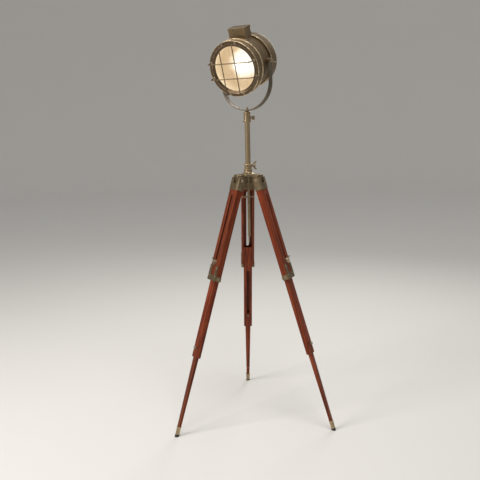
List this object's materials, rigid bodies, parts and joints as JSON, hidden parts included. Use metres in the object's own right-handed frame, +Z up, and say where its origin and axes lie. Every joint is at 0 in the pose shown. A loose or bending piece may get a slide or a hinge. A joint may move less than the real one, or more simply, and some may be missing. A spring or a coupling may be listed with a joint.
{
  "type": "tripod spotlight floor lamp",
  "caption": "Floor lamp with a drum-shaped spotlight on a swivelling yoke, a rising mast and a folding tripod with telescopic wooden legs.",
  "frame": {"origin": "the point on the floor under the column axis", "axes": "+Z up along the column, +Y towards the rear foot"},
  "size_m": [0.6198, 0.539, 1.5207],
  "materials": {
    "cast_brass": "antique satin",
    "turned_brass": "antique satin",
    "fastener_brass": "satin",
    "strap_brass": "satin",
    "head_brass": "antique satin",
    "guard_wire": "satin",
    "clear_glass": "polished",
    "reflector_metal": "satin",
    "holder_black": "matte",
    "bulb_glass": "frosted",
    "wood": "satin lacquer",
    "pad_rubber": "matte"
  },
  "bodies": {
    "base": {"hub_casting": "cast_brass", "hub_collar": "turned_brass", "hinge_pins": "fastener_brass"},
    "hub_screw": {"hub_clamp_screw": "fastener_brass"},
    "column": {"column_tube": "turned_brass", "column_collar": "turned_brass"},
    "column_screw": {"column_clamp_screw": "fastener_brass"},
    "mast": {"mast_rod": "turned_brass", "mast_head": "turned_brass", "yoke_nut": "turned_brass"},
    "yoke": {"yoke_strap": "strap_brass"},
    "lamp_head": {"drum_shell": "head_brass", "front_bezel": "head_brass", "lens_glass": "clear_glass", "lens_retainer": "head_brass", "reflector": "reflector_metal", "lamp_holder": "holder_black", "bulb": "bulb_glass", "rear_cover": "head_brass", "cable_gland": "head_brass", "trunnion_bosses": "head_brass", "chimney_box": "head_brass", "chimney_lid": "head_brass", "guard_wires": "guard_wire", "guard_clips": "head_brass"},
    "tilt_nut_left": {"tilt_wing_nut_left": "fastener_brass"},
    "tilt_nut_right": {"tilt_wing_nut_right": "fastener_brass"},
    "rear_leg_upper": {"rear_cap": "cast_brass", "rear_upper_section": "wood", "rear_bracket": "cast_brass"},
    "rear_leg_middle": {"rear_middle_section": "wood", "rear_clamp_bolt": "fastener_brass"},
    "rear_leg_lower": {"rear_lower_section": "wood", "rear_ferrule": "cast_brass", "rear_pad": "pad_rubber"},
    "rear_nut": {"rear_wing_nut": "fastener_brass"},
    "rear_knob": {"rear_clamp_knob": "fastener_brass"},
    "left_leg_upper": {"left_cap": "cast_brass", "left_upper_section": "wood", "left_bracket": "cast_brass"},
    "left_leg_middle": {"left_middle_section": "wood", "left_clamp_bolt": "fastener_brass"},
    "left_leg_lower": {"left_lower_section": "wood", "left_ferrule": "cast_brass", "left_pad": "pad_rubber"},
    "left_nut": {"left_wing_nut": "fastener_brass"},
    "left_knob": {"left_clamp_knob": "fastener_brass"},
    "right_leg_upper": {"right_cap": "cast_brass", "right_upper_section": "wood", "right_bracket": "cast_brass"},
    "right_leg_middle": {"right_middle_section": "wood", "right_clamp_bolt": "fastener_brass"},
    "right_leg_lower": {"right_lower_section": "wood", "right_ferrule": "cast_brass", "right_pad": "pad_rubber"},
    "right_nut": {"right_wing_nut": "fastener_brass"},
    "right_knob": {"right_clamp_knob": "fastener_brass"}
  },
  "joints": [
    {"name": "hub_screw_turn", "type": "hinge", "parent": "base", "child": "hub_screw", "pos_m": [0.026, 0, 1.01039], "axis": [1, 0, 0], "continuous": true},
    {"name": "column_turn", "type": "hinge", "parent": "base", "child": "column", "pos_m": [0, 0, 1.02839], "axis": [0, 0, 1], "range_deg": [-180, 180]},
    {"name": "column_screw_turn", "type": "hinge", "parent": "column", "child": "column_screw", "pos_m": [0.02275, 0, 1.18869], "axis": [1, 0, 0], "continuous": true},
    {"name": "mast_rise", "type": "slide", "parent": "column", "child": "mast", "axis": [0, 0, 1], "range_m": [0, 0.2]},
    {"name": "yoke_swivel", "type": "hinge", "parent": "mast", "child": "yoke", "pos_m": [0, 0, 1.21509], "axis": [0, 0, 1], "range_deg": [-180, 180]},
    {"name": "head_tilt", "type": "hinge", "parent": "yoke", "child": "lamp_head", "pos_m": [0, 0, 1.39109], "axis": [0.8394, -0.5435, 0], "range_deg": [-60, 35]},
    {"name": "tilt_nut_left_turn", "type": "hinge", "parent": "lamp_head", "child": "tilt_nut_left", "pos_m": [-0.09066, 0.05869, 1.39109], "axis": [-0.8394, 0.5435, 0], "continuous": true},
    {"name": "tilt_nut_right_turn", "type": "hinge", "parent": "lamp_head", "child": "tilt_nut_right", "pos_m": [0.09066, -0.05869, 1.39109], "axis": [0.8394, -0.5435, 0], "continuous": true},
    {"name": "rear_leg_fold", "type": "hinge", "parent": "base", "child": "rear_leg_upper", "pos_m": [0, 0.045, 0.95499], "axis": [-1, 0, 0], "range_deg": [0, 17.5]},
    {"name": "rear_middle_slide", "type": "slide", "parent": "rear_leg_upper", "child": "rear_leg_middle", "axis": [0, -0.3057, 0.9521], "range_m": [0, 0.24]},
    {"name": "rear_lower_slide", "type": "slide", "parent": "rear_leg_middle", "child": "rear_leg_lower", "axis": [0, -0.3057, 0.9521], "range_m": [0, 0.225]},
    {"name": "rear_nut_turn", "type": "hinge", "parent": "rear_leg_middle", "child": "rear_nut", "pos_m": [0, 0.16171, 0.65689], "axis": [0, 0.9521, 0.3057], "continuous": true},
    {"name": "rear_knob_turn", "type": "hinge", "parent": "rear_leg_middle", "child": "rear_knob", "pos_m": [0, 0.25605, 0.33691], "axis": [0, 0.9521, 0.3057], "continuous": true},
    {"name": "left_leg_fold", "type": "hinge", "parent": "base", "child": "left_leg_upper", "pos_m": [-0.03897, -0.0225, 0.95499], "axis": [0.5, -0.866, 0], "range_deg": [0, 17.5]},
    {"name": "left_middle_slide", "type": "slide", "parent": "left_leg_upper", "child": "left_leg_middle", "axis": [0.2647, 0.1528, 0.9521], "range_m": [0, 0.24]},
    {"name": "left_lower_slide", "type": "slide", "parent": "left_leg_middle", "child": "left_leg_lower", "axis": [0.2647, 0.1528, 0.9521], "range_m": [0, 0.225]},
    {"name": "left_nut_turn", "type": "hinge", "parent": "left_leg_middle", "child": "left_nut", "pos_m": [-0.14005, -0.08086, 0.65689], "axis": [-0.8246, -0.4761, 0.3057], "continuous": true},
    {"name": "left_knob_turn", "type": "hinge", "parent": "left_leg_middle", "child": "left_knob", "pos_m": [-0.22174, -0.12802, 0.33691], "axis": [-0.8246, -0.4761, 0.3057], "continuous": true},
    {"name": "right_leg_fold", "type": "hinge", "parent": "base", "child": "right_leg_upper", "pos_m": [0.03897, -0.0225, 0.95499], "axis": [0.5, 0.866, 0], "range_deg": [0, 17.5]},
    {"name": "right_middle_slide", "type": "slide", "parent": "right_leg_upper", "child": "right_leg_middle", "axis": [-0.2647, 0.1528, 0.9521], "range_m": [0, 0.24]},
    {"name": "right_lower_slide", "type": "slide", "parent": "right_leg_middle", "child": "right_leg_lower", "axis": [-0.2647, 0.1528, 0.9521], "range_m": [0, 0.225]},
    {"name": "right_nut_turn", "type": "hinge", "parent": "right_leg_middle", "child": "right_nut", "pos_m": [0.14005, -0.08086, 0.65689], "axis": [0.8246, -0.4761, 0.3057], "continuous": true},
    {"name": "right_knob_turn", "type": "hinge", "parent": "right_leg_middle", "child": "right_knob", "pos_m": [0.22174, -0.12802, 0.33691], "axis": [0.8246, -0.4761, 0.3057], "continuous": true}
  ]
}
